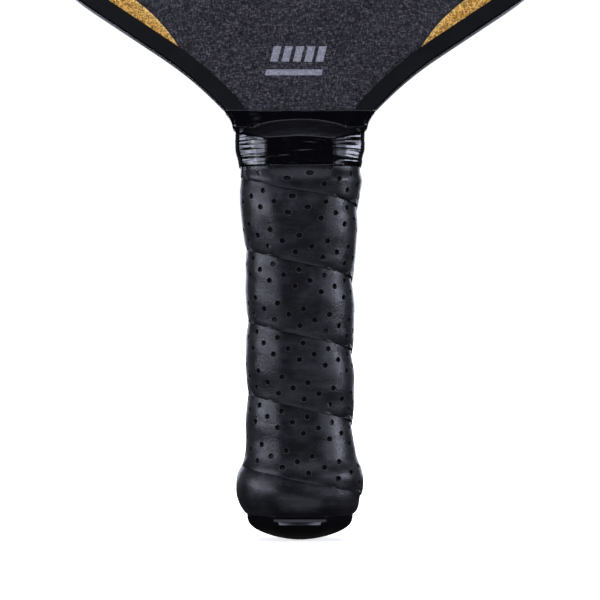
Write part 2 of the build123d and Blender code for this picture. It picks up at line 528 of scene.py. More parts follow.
@dataclass(frozen=True)
class CushionSkin:
    """The grip's tacky synthetic leather: a fine pebble, paler rubbed patches, and a painted highlight that
    lightens the rims of its punched holes.
    """

    colour: Colour = (0.0042, 0.0042, 0.0052)
    # pale colour for both the rubbed patches and the painted highlight on the hole rims
    worn: Colour = (0.026, 0.026, 0.031)
    foam: Colour = (0.002, 0.002, 0.0025)

    def make(self) -> bpy.types.Material:
        """Lays out the grip's nodes.

        Returns:
            The material.
        """
        board = Coating("cushion_skin")
        rim = board.node("ShaderNodeAttribute", {"attribute_name": "rim"}, {}, "Fac")
        pit = board.node("ShaderNodeAttribute", {"attribute_name": "pit"}, {}, "Fac")
        pebble = board.cells((1500.0, 1500.0, 1500.0))
        fine = board.noise((3200.0, 3200.0, 3200.0), 2.0, 0.6)
        cloud = board.noise((120.0, 120.0, 120.0), 4.0, 0.65)
        creases = board.noise((110.0, 110.0, 380.0), 4.0, 0.7)
        rubbed = cloud.ramp(0.42, 0.75) * 0.4 + creases.ramp(0.45, 0.7) * 0.4
        # cloud and creases give rubbed patches; the rim mask adds a painted highlight round each punched
        # hole
        wear = (rubbed + rim.ramp(0.45, 1.0) * 0.9).least(1.0)
        colour = board.blend(wear, self.colour, self.worn)
        # the floors of the punched holes are coloured darker than the skin
        colour = board.blend(pit.ramp(0.1, 0.9), colour, self.foam)
        board.bump(pebble * 0.6 + fine * 0.4 + creases * 0.9, 0.08 * MM, 0.6)
        return board.finish(
            Base_Color=colour,
            Roughness=0.33 + (cloud - 0.5) * 0.35 + (creases - 0.5) * 0.18 + pit * 0.4,
            Specular_IOR_Level=0.42,
            Sheen_Weight=0.04,
            Sheen_Roughness=0.5,
        )


@dataclass(frozen=True)
class Laminate:
    """A face skin: woven glass and carbon tows set in resin."""

    dark: Colour = (0.0025, 0.0025, 0.0030)
    light: Colour = (0.014, 0.014, 0.016)

    def make(self) -> bpy.types.Material:
        """Lays out the laminate's nodes.

        Returns:
            The material.
        """
        board = Coating("laminate")
        x, _, z = board.axes()
        tow = math.pi / (1.6 * MM)
        over = (x * tow).sine() * (z * tow).sine()
        fibre = board.noise((5200.0, 0.0, 320.0), 2.0, 0.5)
        share = (over * 0.5 + 0.5) * 0.7 + fibre * 0.3
        board.bump(over, 0.04 * MM, 0.5)
        return board.finish(
            Base_Color=board.blend(share, self.dark, self.light),
            Roughness=0.38 + fibre * 0.2,
            Specular_IOR_Level=0.5,
        )


@dataclass(frozen=True)
class CorePlastic:
    """Milky honeycomb plastic, with faint draw lines down the cells."""

    colour: Colour = (0.72, 0.74, 0.71)
    shade: Colour = (0.55, 0.57, 0.54)

    def make(self) -> bpy.types.Material:
        """Lays out the core's nodes.

        Returns:
            The material.
        """
        board = Coating("core_plastic")
        drawn = board.noise((900.0, 60.0, 900.0), 3.0, 0.6)
        board.bump(drawn, 0.05 * MM, 0.4)
        return board.finish(
            Base_Color=board.blend(drawn.ramp(0.3, 0.7), self.colour, self.shade),
            Roughness=0.42 + drawn * 0.15,
        )


@dataclass(frozen=True)
class FibreVeil:
    """A thin non-woven veil of crossed fibres."""

    colour: Colour = (0.80, 0.80, 0.77)
    gap: Colour = (0.56, 0.57, 0.55)

    def make(self) -> bpy.types.Material:
        """Lays out the veil's nodes.

        Returns:
            The material.
        """
        board = Coating("fibre_veil")
        one = board.noise((2600.0, 0.0, 260.0), 3.0, 0.7)
        other = board.noise((260.0, 0.0, 2600.0), 3.0, 0.7)
        fibre = one.most(other)
        board.bump(fibre, 0.05 * MM, 0.6)
        return board.finish(
            Base_Color=board.blend(fibre.ramp(0.45, 0.7), self.gap, self.colour),
            Roughness=0.85 - fibre * 0.1,
        )


@dataclass(frozen=True)
class StapleWire:
    """Bright drawn steel wire."""

    colour: Colour = (0.58, 0.57, 0.55)

    def make(self) -> bpy.types.Material:
        """Lays out the wire's nodes.

        Returns:
            The material.
        """
        board = Coating("staple_wire")
        drawn = board.noise((500.0, 5000.0, 5000.0), 3.0, 0.6)
        board.bump(drawn, 0.02 * MM, 0.4)
        return board.finish(
            Base_Color=board.blend(drawn, self.colour, (0.36, 0.35, 0.34)),
            Metallic=1.0,
            Roughness=0.28 + drawn * 0.15,
        )


# ---------------------------------------------------------------- the forms under the soft pieces


@dataclass
class Flank:
    """The blade's side below its widest point: half width against height, read from a face skin."""

    node: str = "front_face_skin"
    top: float = 0.19
    heights: Array = field(init=False)
    widths: Array = field(init=False)

    def __post_init__(self) -> None:
        """Reads the outline's right side from the CAD node."""
        corners = np.array([vertex.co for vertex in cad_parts[self.node].data.vertices])
        side = corners[(corners[:, 0] > 0.0) & (corners[:, 2] < self.top)]
        heights = np.round(side[:, 2], 5)
        self.heights = np.unique(heights)
        self.widths = np.array([side[heights == height, 0].max() for height in self.heights])

    def half(self, z: Array) -> Array:
        """The half width at each height."""
        return np.interp(z, self.heights, self.widths)

    def stretch(self, z: Array) -> Array:
        """How much longer a step square to the side becomes when it is measured level.

        Args:
            z: heights.

        Returns:
            One factor for each height.
        """
        step = 0.6 * MM
        slope = (self.half(z + step) - self.half(z - step)) / (2.0 * step)
        return np.sqrt(1.0 + slope * slope)


@dataclass
class HandleForm:
    """The eight-sided handle with its flared butt. A turn starts at the back centre, towards +X."""

    flank: Flank
    bevel_run: float = 7.0 * MM
    gauged_at: float = 60.0 * MM
    corner: float = 2.2 * MM
    cover: float = 1.7 * MM
    # (height, how far out) in millimetres
    flare: tuple = ((0.0, 0.0), (8.5, 1.5), (13.0, 2.2), (18.0, 3.2), (23.0, 2.5), (27.5, 1.2),
                    (33.0, 0.0))
    flare_blur: float = 1.0 * MM
    bulge: float = 0.0
    bulge_inset: float = 0.65
    bulge_end: tuple[float, float] = (112.0 * MM, 120.0 * MM)
    depth: float = field(init=False)
    foot: float = field(init=False)
    round_length: float = field(init=False)
    keys: Array = field(init=False)

    def __post_init__(self) -> None:
        """Works out the section's straight runs and corners."""
        low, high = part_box("front_handle_pallet")
        self.depth = -low.y
        self.foot = -high.y
        lean = math.atan2(self.depth - self.foot, self.bevel_run)
        flat_y = self.depth - self.corner
        side_y = self.foot - self.corner * math.tan((math.pi / 2 - lean) / 2)
        flat_x = -self.bevel_run - self.corner * math.tan(lean / 2)
        side_x = -self.corner
        half_turn = math.pi
        # (share of the half width, distance from it, depth of the corner's centre, way it faces)
        right = [
            (0.0, 0.0, flat_y, 0.0),
            (1.0, flat_x, flat_y, 0.0),
            (1.0, flat_x, flat_y, lean),
            (1.0, side_x, side_y, lean),
            (1.0, side_x, side_y, half_turn / 2),
            (1.0, side_x, -side_y, half_turn / 2),
            (1.0, side_x, -side_y, half_turn - lean),
            (1.0, flat_x, -flat_y, half_turn - lean),
            (1.0, flat_x, -flat_y, half_turn),
            (0.0, 0.0, -flat_y, half_turn),
        ]
        left = [(-s, -x, y, 2.0 * half_turn - facing) for s, x, y, facing in reversed(right[:-1])]
        rows = np.array(right + left)
        half = float(self.flank.half(np.array(self.gauged_at)))
        steps = np.diff(rows, axis=0)
        straight = np.hypot(steps[:, 0] * half + steps[:, 1], steps[:, 2])
        lengths = straight + (self.corner + self.cover) * steps[:, 3]
        distances = np.concatenate([[0.0], np.cumsum(lengths)])
        self.round_length = float(distances[-1])
        self.keys = np.column_stack([distances / self.round_length, rows])

    def stand(self, z: Array) -> Array:
        """How far the butt's flare stands out from the straight handle.

        Args:
            z: heights.

        Returns:
            The distance at each height.
        """
        heights, stands = np.array(self.flare).T * MM
        shifts = np.linspace(-self.flare_blur, self.flare_blur, 5)
        return sum(np.interp(z + shift, heights, stands) for shift in shifts) / len(shifts)

    def surface(self, turn: Array, z: Array, growth: Array) -> Array:
        """Points on the handle.

        Args:
            turn: how far round, in turns.
            z: heights.
            growth: how far outside the bare handle each point is.

        Returns:
            The points, with one more axis than the arguments.
        """
        place = np.mod(turn, 1.0)
        share, fixed, y, facing = (np.interp(place, self.keys[:, 0], self.keys[:, k]) for k in range(1, 5))
        reach = self.corner + growth + self.stand(z)
        half = self.flank.half(z)
        x = share * half + fixed + reach * np.sin(facing)
        y = y + reach * np.cos(facing)
        flat = np.maximum(1.0 - (x / (half - self.bevel_run * self.bulge_inset)) ** 2, 0.0)
        bulge = self.bulge * (1.0 - smooth(*self.bulge_end, z))
        return np.stack([x, y + np.sign(y) * bulge * flat * flat, z], axis=-1)


@dataclass
class ThroatForm:
    """The throat where the handle's bevels run out onto the blade and the edge guard begins."""

    flank: Flank
    handle: HandleForm
    guard_low: float = field(init=False)
    guard_lip: float = field(init=False)
    arch_top: float = field(init=False)
    web: float = 1.2 * MM
    web_onset: tuple[float, float] = (-1.4 * MM, 0.5 * MM)
    lip_onset: tuple[float, float] = (-1.0 * MM, 0.4 * MM)
    lip_width: float = 5.4 * MM
    lip_run: tuple[float, float] = (-7.0 * MM, 1.5 * MM)
    arch_radius: float = 58.0 * MM
    arch_drop: float = 0.5 * MM
    arch_steepness: float = 1.5
    arch_blend: float = 1.4 * MM
    pallet_half: float = 18.5 * MM
    ridge_blend: float = 1.5 * MM
    bevel_swell: float = 0.32 * MM
    side_drop: float = 1.5 * MM
    valley_blend: float = 0.9 * MM
    shelf_lift: float = 0.8
    side_laps: float = 0.55 * MM
    laps_start: tuple[float, float] = (122.5 * MM, 128.0 * MM)
    edge_round: float = 1.6 * MM
    across: int = 72
    beside: int = 12

    def __post_init__(self) -> None:
        """Reads the guard's and the pallets' places from the frame."""
        low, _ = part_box("edge_guard")
        self.guard_low = low.z
        self.guard_lip = -low.y
        self.arch_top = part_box("front_handle_pallet")[1].z

    def half(self, z: Array, lift: Array) -> Array:
        """The half width over the blade, and over the guard where it has begun.

        Args:
            z: heights.
            lift: the cover's thickness.

        Returns:
            The half widths.
        """
        guard = smooth(*self.web_onset, z - self.guard_low)
        laps = self.side_laps * smooth(*self.laps_start, z) * (1.0 - guard)
        return self.flank.half(z) + (self.web * guard + laps + lift) * self.flank.stretch(z)

    def depth(self, x: Array, z: Array, lift: Array) -> Array:
        """How far the front stands from the middle plane, under a cover.

        Args:
            x: places across.
            z: heights.
            lift: the cover's thickness.

        Returns:
            The distances.
        """
        handle = self.handle
        rise = handle.depth - handle.foot
        slope = rise / handle.bevel_run
        longer = math.hypot(1.0, slope)
        guard = smooth(*self.lip_onset, z - self.guard_low)
        spare = np.maximum(self.flank.half(z) - self.pallet_half, 0.0) * (1.0 - guard)
        foot_half = np.minimum(self.flank.half(z), self.pallet_half) + spare
        beside = (foot_half - np.abs(x)) * handle.bevel_run / (handle.bevel_run + spare)
        arch_centre = self.arch_top - self.arch_radius - self.arch_drop
        under = self.arch_steepness * (self.arch_radius - np.hypot(x, z - arch_centre))
        inside = -soft_max(-beside, -under, self.arch_blend)
        ramp = slope * inside + longer * lift
        ramp = ramp + self.bevel_swell * np.sin(np.pi * np.clip(inside / handle.bevel_run, -0.5, 1.0))
        top = -soft_max(-ramp, -(rise + lift), self.ridge_blend)
        lip_edge = self.half(z, lift) - self.lip_width * self.flank.stretch(z)
        lip_share = smooth(*self.lip_run, np.abs(x) - lip_edge)
        lip = (self.guard_lip - handle.foot) * guard * lip_share
        shelf = lift * self.shelf_lift + lip - self.side_drop * (1.0 - guard)
        return handle.foot + soft_max(top, shelf, self.valley_blend)

    def rings(self, z: Array, lift: Array) -> Array:
        """Closed level rings round the throat, anticlockwise from above.

        Args:
            z: one height for each ring.
            lift: the cover's thickness for each ring.

        Returns:
            Points shaped (rings, points, 3).
        """
        bend = np.linspace(math.pi / 2, 0.0, self.beside)[:, None]
        half = self.half(z, lift)[None, :]
        right_arc = half - self.edge_round + self.edge_round * np.sin(bend)
        middle = np.linspace(1.0, -1.0, self.across + 2)[1:-1, None] * (half - self.edge_round)
        x = np.concatenate([right_arc, middle, -right_arc[::-1]])
        y = self.depth(x, z[None, :], lift[None, :])
        beyond = np.maximum(np.abs(x) - (half - self.edge_round), 0.0)
        y = y - (self.edge_round - np.sqrt(np.maximum(self.edge_round ** 2 - beyond ** 2, 0.0)))
        z_all = np.broadcast_to(z[None, :], x.shape)
        front = np.stack([x[::-1], -y[::-1], z_all], axis=-1)
        back = np.stack([x, y, z_all], axis=-1)
        sides = []
        for first, last in ((front[-1], back[0]), (back[-1], front[0])):
            shares = np.linspace(0.0, 1.0, 8)[1:-1, None, None]
            sides.append(first[None] * (1.0 - shares) + last[None] * shares)
        loop = np.concatenate([front, sides[0], back, sides[1]])
        return loop.transpose(1, 0, 2)


# ---------------------------------------------------------------- the soft pieces


@dataclass
class GripStrip:
    """The cushioned grip: one punched strip wound up the handle, each turn lapped over the last."""

    form: HandleForm
    bare: HandleForm
    material: bpy.types.Material
    low: float = 8.6 * MM
    trim: float = 122.7 * MM
    pitch: float = 23.35 * MM
    spare_turns: float = 1.04
    width: float = 26.0 * MM
    thickness: float = 1.40 * MM
    crown: float = 0.72 * MM
    crown_width: float = 23.0 * MM
    skive_start: float = 16.5 * MM
    skive_bend: float = 22.9 * MM
    skive_shares: tuple[float, float] = (0.27, 0.5)
    rolled_edge: float = 1.5 * MM
    edge_foot: float = 0.12 * MM
    edge_ridge: float = 0.10 * MM
    ridge_run: tuple[float, float] = (1.0 * MM, 9.0 * MM)
    lap_onset: tuple[float, float] = (-0.2 * MM, 0.5 * MM)
    lap_rise: float = 1.22 * MM
    lap_run: float = 5.0 * MM
    under_gap: float = 0.05 * MM
    wave: float = 0.20 * MM
    wave_run: tuple[float, float] = (8.0 * MM, 5.0 * MM)
    wave_seed: float = 3.1
    taped: tuple[float, float] = (116.5 * MM, 121.6 * MM)
    tape_squeeze: float = 0.72
    butt: tuple[float, float] = (7.8 * MM, 12.5 * MM)
    butt_squeeze: float = 0.55
    hole_radius: float = 0.92 * MM
    hole_depth: float = 1.15 * MM
    hole_floor: float = 0.90
    hole_dish: float = 1.08
    hole_rows: tuple = (3.1, 5.8, 8.5, 15.1, 17.8, 20.5)
    row_gap: float = 2.7 * MM
    hole_block: float = 2.55 * MM
    half_pitch: float = 4.25 * MM
    plain_run: float = 6.0 * MM
    cells: int = 6
    widest_cell: float = 1.2 * MM
    least_cell: float = 0.05 * MM

    def across_lines(self) -> tuple[Array, list[int]]:
        """The lines that run along the strip.

        Returns:
            Their distances from its lower edge, and the number of each row of holes' middle line.
        """
        lines = [0.0, 0.25 * MM, 0.6 * MM, 1.1 * MM]
        middles = []
        shares = np.linspace(-0.5, 0.5, self.cells + 1) * self.row_gap
        for row in self.hole_rows:
            places = row * MM + shares
            start = places[0]
            if start - lines[-1] > self.widest_cell:
                lines += np.linspace(lines[-1], start, 4)[1:-1].tolist()
            if start - lines[-1] > self.least_cell:
                lines.append(float(start))
            middles.append(len(lines) - 1 + self.cells // 2)
            lines += places[1:].tolist()
        lines += np.linspace(lines[-1], self.width, 6)[1:].tolist()
        return np.array(lines), middles

    def along_lines(self, length: float) -> tuple[Array, list[int]]:
        """The lines across the strip.

        Args:
            length: the strip's length.

        Returns:
            Their distances from its start, and the number of the middle line of each place for a hole.
        """
        block = np.linspace(-0.5, 0.5, self.cells + 1) * self.hole_block
        lines, middles = [], []
        for place in np.arange(0.0, length, self.half_pitch):
            middles.append(len(lines) + self.cells // 2)
            lines += (place + block).tolist()
            lines.append(float(place + self.half_pitch / 2))
        return np.array(lines), middles

    def hole_places(self, rows: list[int], columns: list[int], far: Array) -> list[tuple[int, int]]:
        """Staggers the holes: each row has one at every second place.

        Args:
            rows: each row's middle line.
            columns: the middle line of each place for a hole.
            far: for each line across the strip, whether it is past the plain start.

        Returns:
            The middle row and column of each hole.
        """
        holes = []
        for row_number, row in enumerate(rows):
            for number, column in enumerate(columns[1:-1], start=1):
                if (row_number + number) % 2 == 0 and far[column]:
                    holes.append((row, column))
        return holes

    def punch(self, along: Array, across: Array, depth: Array, holes: list[tuple[int, int]]) -> None:
        """Draws the grid's cells into round holes.

        Args:
            along: the grid's distances along the strip, changed here.
            across: the grid's distances across the strip, changed here.
            depth: how far below the surface each point is, changed here.
            holes: the middle row and column of each hole.
        """
        rings = {1: (self.hole_floor * self.hole_radius, self.hole_depth), 2: (self.hole_radius, 0.0)}
        for row, column in holes:
            s, v = along[row, column], across[row, column]
            depth[row, column] = self.hole_depth * self.hole_dish
            for ring, (radius, deep) in rings.items():
                for step in range(8 * ring):
                    side, part = divmod(step, 2 * ring)
                    offset = part - ring
                    i, j = ((offset, ring), (ring, -offset), (-offset, -ring), (-ring, offset))[side]
                    angle = math.pi * (0.75 - step / (4.0 * ring))
                    along[row + j, column + i] = s + radius * math.cos(angle)
                    across[row + j, column + i] = v + radius * math.sin(angle)
                    depth[row + j, column + i] = deep

    def top_growth(self, across: Array, edge: Array, lap: Array) -> Array:
        """The top's height above the handle.

        Args:
            across: distance from the strip's own lower edge.
            edge: distance from the lower edge as trimmed.
            lap: 1 where the strip lies over its last turn.

        Returns:
            The heights.
        """
        gentle, steep = self.skive_shares
        skive = 1.0 - gentle * smooth(self.skive_start, self.skive_bend, across)
        skive = skive - steep * smooth(self.skive_bend, self.width, across)
        crown = self.crown * np.sin(np.pi * np.clip(across / self.crown_width, 0.0, 1.0))
        ridge = self.edge_ridge * (1.0 - smooth(*self.ridge_run, edge)) * lap
        full = self.thickness * skive + crown + ridge
        start = self.lap_lift(np.zeros_like(edge)) * lap + self.edge_foot
        share = np.clip(edge / self.rolled_edge, 0.0, 1.0)
        return start + (full - start) * np.sqrt(np.maximum(1.0 - (1.0 - share) ** 2, 0.0))

    def lap_lift(self, edge: Array) -> Array:
        """How far the strip's underside is lifted by the turn below it."""
        return self.lap_rise * (1.0 - smooth(0.0, self.lap_run, edge))

    def wrap(self, along: Array, across: Array, depth: Array, top: bool) -> Array:
        """Places the unrolled strip's points on the handle.

        Args:
            along: distances along the strip.
            across: distances across it.
            depth: how far below the surface each point is.
            top: whether this is the outer side.

        Returns:
            The points.
        """
        round_length = self.form.round_length
        lean = math.atan2(self.pitch, round_length)
        lower = self.low + self.pitch * (along * math.cos(lean) / round_length - 1.0)
        clip = np.maximum((self.low - lower) / math.cos(lean), 0.0)
        across = clip + (self.width - clip) * across / self.width
        edge = across - clip
        turn = (along * math.cos(lean) - across * math.sin(lean)) / round_length
        z = lower + across * math.cos(lean)
        lap = smooth(*self.lap_onset, lower - self.low)
        if top:
            long, wide = self.wave_run
            places = np.column_stack([along.ravel() / long, across.ravel() / wide, np.zeros(z.size)])
            waves = self.wave * ripple(places, self.wave_seed).reshape(z.shape)
            growth = self.top_growth(across, edge, lap) + waves - depth
        else:
            growth = self.lap_lift(edge) * lap + self.under_gap
        growth = growth * (1.0 - self.tape_squeeze * smooth(*self.taped, z))
        growth = growth * (1.0 - self.butt_squeeze * (1.0 - smooth(*self.butt, z)))
        form = self.form if top else self.bare
        return form.surface(turn, z, growth)

    def sheet_faces(self, rows: int, columns: int) -> list[tuple[int, ...]]:
        """The strip's faces: its outside and underside, then its two ends.

        Args:
            rows: number of lines along the strip, outside and underside.
            columns: number of lines across it.

        Returns:
            The faces as point numbers.
        """
        faces = [face[::-1] for face in grid_faces(rows, columns)]
        last = (rows - 1) * columns
        for column in range(columns - 1):
            faces.append((last + column + 1, column + 1, column, last + column))
        faces.append(tuple(row * columns for row in range(rows)))
        faces.append(tuple((row + 1) * columns - 1 for row in reversed(range(rows))))
        return faces

    def build(self) -> bpy.types.Object:
        """Makes the strip, trims it under the tape and dresses it.

        Returns:
            The strip.
        """
        round_length = self.form.round_length
        lean = math.atan2(self.pitch, round_length)
        turns = self.spare_turns + (self.trim - self.low) / self.pitch
        v_lines, rows = self.across_lines()
        s_lines, columns = self.along_lines(turns * round_length / math.cos(lean))
        plain = (round_length + self.plain_run) / math.cos(lean)
        holes = self.hole_places(rows, columns, s_lines > plain)
        along, across = np.meshgrid(s_lines, v_lines)
        depth = np.zeros_like(along)
        self.punch(along, across, depth, holes)
        top = self.wrap(along, across, depth, True)
        under_lines = np.array([self.width, 12.0 * MM, 5.0 * MM, 2.5 * MM, 0.0])
        along, across = np.meshgrid(s_lines, under_lines)
        under = self.wrap(along, across, np.zeros_like(along), False)
        sheet = np.concatenate([top, under])
        piece = mesh_piece("grip_strip", sheet, self.sheet_faces(*sheet.shape[:2]), sharp=50.0)
        self.mark_holes(piece, depth, holes, along.size)
        self.trim_top(piece)
        dress(piece, self.material)
        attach(piece, BODY)
        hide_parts("grip_wrap")
        return piece

    def mark_holes(self, piece: bpy.types.Object, depth: Array, holes: list, under: int) -> None:
        """Stores how deep each point is in a hole, and whether it is on a hole's rim.

        Args:
            piece: the strip.
            depth: how far below the surface each outer point is.
            holes: the middle row and column of each hole.
            under: number of points on the underside.
        """
        pit = (depth / self.hole_depth).clip(0.0, 1.0)
        # the rim mask tells the grip's finish where to paint a highlight round each hole
        rim = np.zeros_like(depth)
        for row, column in holes:
            rim[row - 2:row + 3, column - 2:column + 3] = 1.0
        for name, values in (("pit", pit), ("rim", rim)):
            attribute = piece.data.attributes.new(name, "FLOAT", "POINT")
            padded = np.concatenate([values.ravel(), np.zeros(under)])
            attribute.data.foreach_set("value", padded.astype(np.float32))

    def trim_top(self, piece: bpy.types.Object) -> None:
        """Cuts the strip level at its top and closes the cut.

        Args:
            piece: the strip.
        """
        build = bmesh.new()
        build.from_mesh(piece.data)
        geometry = build.verts[:] + build.edges[:] + build.faces[:]
        bmesh.ops.bisect_plane(
            build, geom=geometry, plane_co=(0.0, 0.0, self.trim), plane_no=(0.0, 0.0, 1.0), clear_outer=True
        )
        rim = [edge for edge in build.edges if edge.is_boundary]
        bmesh.ops.edgeloop_fill(build, edges=rim)
        build.to_mesh(piece.data)
        build.free()


@dataclass
class StretchTape:
    """A band of stretch tape pulled tight round the throat in a few laps."""

    name: str
    node: str
    form: ThroatForm
    material: bpy.types.Material
    low: float
    high: float
    seed: float
    # (height in millimetres, rise to the metre across, step in millimetres)
    laps: tuple
    over_grip: float = 0.0
    grip_end: tuple[float, float] = (122.6 * MM, 125.4 * MM)
    thickness: float = 0.42 * MM
    wrinkle: float = 0.26 * MM
    line_run: Triple = (7.5 * MM, 9.0 * MM, 1.5 * MM)
    line_fan: float = 0.05
    line_share: float = 0.6
    fold_run: Triple = (6.5 * MM, 6.0 * MM, 3.2 * MM)
    lap_edge: float = 0.12 * MM
    lap_wander: float = 0.35 * MM
    wander_run: float = 6.0 * MM
    turned_in: float = 0.12 * MM
    turn_run: float = 0.4 * MM
    under_gap: float = 0.02 * MM
    rows: int = 72
    inner_step: int = 12

    def lift(self, z: Array) -> Array:
        """The tape's thickness, and the grip's end under it."""
        return self.thickness + self.over_grip * (1.0 - smooth(*self.grip_end, z))

    def relief(self, points: Array) -> Array:
        """Pull lines, soft hollows and the steps at each lap's edge.

        Args:
            points: rings of points on the band.

        Returns:
            How far out each point moves.
        """
        x, y, z = points[..., 0], points[..., 1], points[..., 2]
        fan = np.stack([x, y, z + self.line_fan * np.abs(x)], axis=-1)
        lines = (fan / np.array(self.line_run)).reshape(-1, 3)
        folds = (points / np.array(self.fold_run)).reshape(-1, 3)
        height = ripple(lines, self.seed) * self.line_share
        height = height + ripple(folds, self.seed + 7.0) * (1.0 - self.line_share)
        height = height.reshape(x.shape) * self.wrinkle
        for place, rise, step in self.laps:
            edge = place * MM + rise * x + self.lap_wander * np.sin(x / self.wander_run + place)
            height = height + step * MM * smooth(-self.lap_edge, self.lap_edge, edge - z)
        return height

    def build(self) -> bpy.types.Object:
        """Makes the band with its turned-in ends.

        Returns:
            The band.
        """
        z = np.linspace(self.low, self.high, self.rows)
        rings = self.form.rings(z, self.lift(z))
        normals = grid_normals(rings, True)
        inset = np.minimum(z - self.low, self.high - z)
        ease = np.sqrt(np.clip(inset / self.turn_run, 0.0, 1.0))[:, None, None]
        outer = rings + normals * (self.relief(rings)[..., None] * ease - self.turned_in * (1.0 - ease))
        under = rings - normals * (self.lift(z) + self.under_gap)[:, None, None]
        points = np.concatenate([under[:1], outer, under[-1:], under[::-self.inner_step][1:-1]])
        count = points.shape[1]
        faces = grid_faces(points.shape[0], count, True)
        last = (points.shape[0] - 1) * count
        for column in range(count):
            after = (column + 1) % count
            faces.append((last + column, last + after, after, column))
        piece = mesh_piece(self.name, points, faces, sharp=55.0)
        dress(piece, self.material)
        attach(piece, BODY)
        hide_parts(self.node)
        return piece


@dataclass
class ButtCap:
    """The moulded butt cap: a short skirt under the grip and a domed end."""

    form: HandleForm
    material: bpy.types.Material
    stand: float = 1.55 * MM
    # (height in millimetres, share of the full width)
    dome: tuple = ((0.0, 0.02), (0.12, 0.12), (0.4, 0.24), (1.0, 0.41), (1.8, 0.57), (2.8, 0.72),
                   (4.0, 0.85), (5.2, 0.935), (6.4, 0.98), (7.6, 1.0), (11.0, 1.0))
    crowding: float = 1.6
    polish: int = 3
    around: int = 160
    rows: int = 56

    def build(self) -> bpy.types.Object:
        """Makes the dome in level rings and closes both ends.

        Returns:
            The cap.
        """
        heights, shares = np.array(self.dome).T
        steps = np.linspace(0.0, 1.0, self.rows) ** self.crowding * heights[-1]
        knots = np.interp(steps, heights, shares)
        for _ in range(self.polish):
            knots[1:-1] = 0.25 * knots[:-2] + 0.5 * knots[1:-1] + 0.25 * knots[2:]
        turn = -np.arange(self.around) / self.around
        turns, z = np.meshgrid(turn, steps * MM)
        points = self.form.surface(turns, z, self.stand - self.form.stand(z))
        points[..., :2] *= knots[:, None, None]
        faces = grid_faces(self.rows, self.around, True)
        faces.append(tuple(reversed(range(self.around))))
        last = (self.rows - 1) * self.around
        faces.append(tuple(last + column for column in range(self.around)))
        piece = mesh_piece("domed_cap", points, faces, sharp=50.0)
        dress(piece, self.material)
        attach(piece, BODY)
        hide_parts("butt_cap")
        return piece


# ---------------------------------------------------------------- the paddle and the studio


class Part(Enum):
    """The CAD nodes of one material."""

    CORE = ("honeycomb_core",)
    VEIL = ("front_core_veil", "back_core_veil")
    SKIN = ("front_face_skin", "back_face_skin")
    FILM = ("front_graphic_film", "back_graphic_film")
    GUARD = ("edge_guard",)
    PALLET = ("front_handle_pallet", "back_handle_pallet")
    CAP = ("butt_cap",)
    STAPLE = ("butt_cap_staples",)


@dataclass
class Paddle:
    """The whole paddle: the finished CAD nodes, the grip, the cap and the two tapes."""

    guard: Moulded = Moulded("guard_satin", (0.0025, 0.0026, 0.0031), 0.46, 0.03 * MM, 1500.0, 0.26)
    cap: Moulded = Moulded("cap_gloss", (0.0025, 0.0025, 0.0035), 0.06, 0.003 * MM, 900.0, 0.5)
    pallet: Moulded = Moulded("pallet_foam", (0.020, 0.020, 0.021), 0.62, 0.05 * MM, 1300.0)
    cushion_corner: float = 10.0 * MM
    cushion_bulge: float = 0.5 * MM
    # (height, how far out) in millimetres
    cushion_flare: tuple = ((6.0, 0.6), (8.5, 1.3), (12.6, 2.3), (15.0, 3.1), (18.0, 3.3), (21.0, 3.1),
                            (23.4, 2.5), (26.0, 1.25), (28.0, 0.6), (33.0, 0.0))
    cap_corner: float = 3.5 * MM
    lower_top: float = 132.1 * MM
    upper_low: float = 131.2 * MM

    def dress_nodes(self) -> list[bpy.types.Object]:
        """Gives every CAD node its finish.

        Returns:
            The dressed nodes.
        """
        finishes = {
            Part.CORE: CorePlastic(),
            Part.VEIL: FibreVeil(),
            Part.SKIN: Laminate(),
            Part.FILM: PrintedFilm(),
            Part.GUARD: self.guard,
            Part.PALLET: self.pallet,
            Part.CAP: self.cap,
            Part.STAPLE: StapleWire(),
        }
        nodes = []
        for part, finish in finishes.items():
            material = finish.make()
            for name in part.value:
                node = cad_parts[name]
                for socket in node.material_slots:
                    socket.material = material
                nodes.append(node)
        return nodes

    def tapes(self, throat: ThroatForm) -> list[StretchTape]:
        """The lower tape over the grip's end, and the upper one over the guard's ends.

        Args:
            throat: the form that they are pulled over.

        Returns:
            The two tapes, not yet built.
        """
        vinyl = StretchVinyl().make()
        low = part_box("finishing_tape")[0].z
        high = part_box("throat_tape")[1].z
        lower = StretchTape(
            "lower_tape", "finishing_tape", throat, vinyl, low, self.lower_top, seed=2.3,
            laps=((126.3, 0.03, 0.09), (129.6, -0.02, 0.04)), over_grip=0.35 * MM,
        )
        upper = StretchTape(
            "upper_tape", "throat_tape", throat, vinyl, self.upper_low, high, seed=5.9,
            laps=((135.0, 0.0, 0.06),), thickness=0.30 * MM, wrinkle=0.12 * MM,
        )
        return [lower, upper]

    def build(self) -> list[bpy.types.Object]:
        """Dresses the nodes and makes the pieces over them.

        Returns:
            Every piece, the CAD nodes first.
        """
        pieces = self.dress_nodes()
        flank = Flank()
        handle = HandleForm(flank)
        cushioned = HandleForm(
            flank, corner=self.cushion_corner, bulge=self.cushion_bulge, flare=self.cushion_flare
        )
        pieces.append(GripStrip(cushioned, handle, CushionSkin().make()).build())
        pieces.append(ButtCap(HandleForm(flank, corner=self.cap_corner), self.cap.make()).build())
        pieces += [tape.build() for tape in self.tapes(ThroatForm(flank, handle))]
        return pieces


@dataclass(frozen=True)
class Softbox:
    """A rectangular soft light: its centre, its width and height, and how bright its face is."""

    name: str
    place: Triple
    size: tuple[float, float]
    radiance: float
    shiny: bool = True


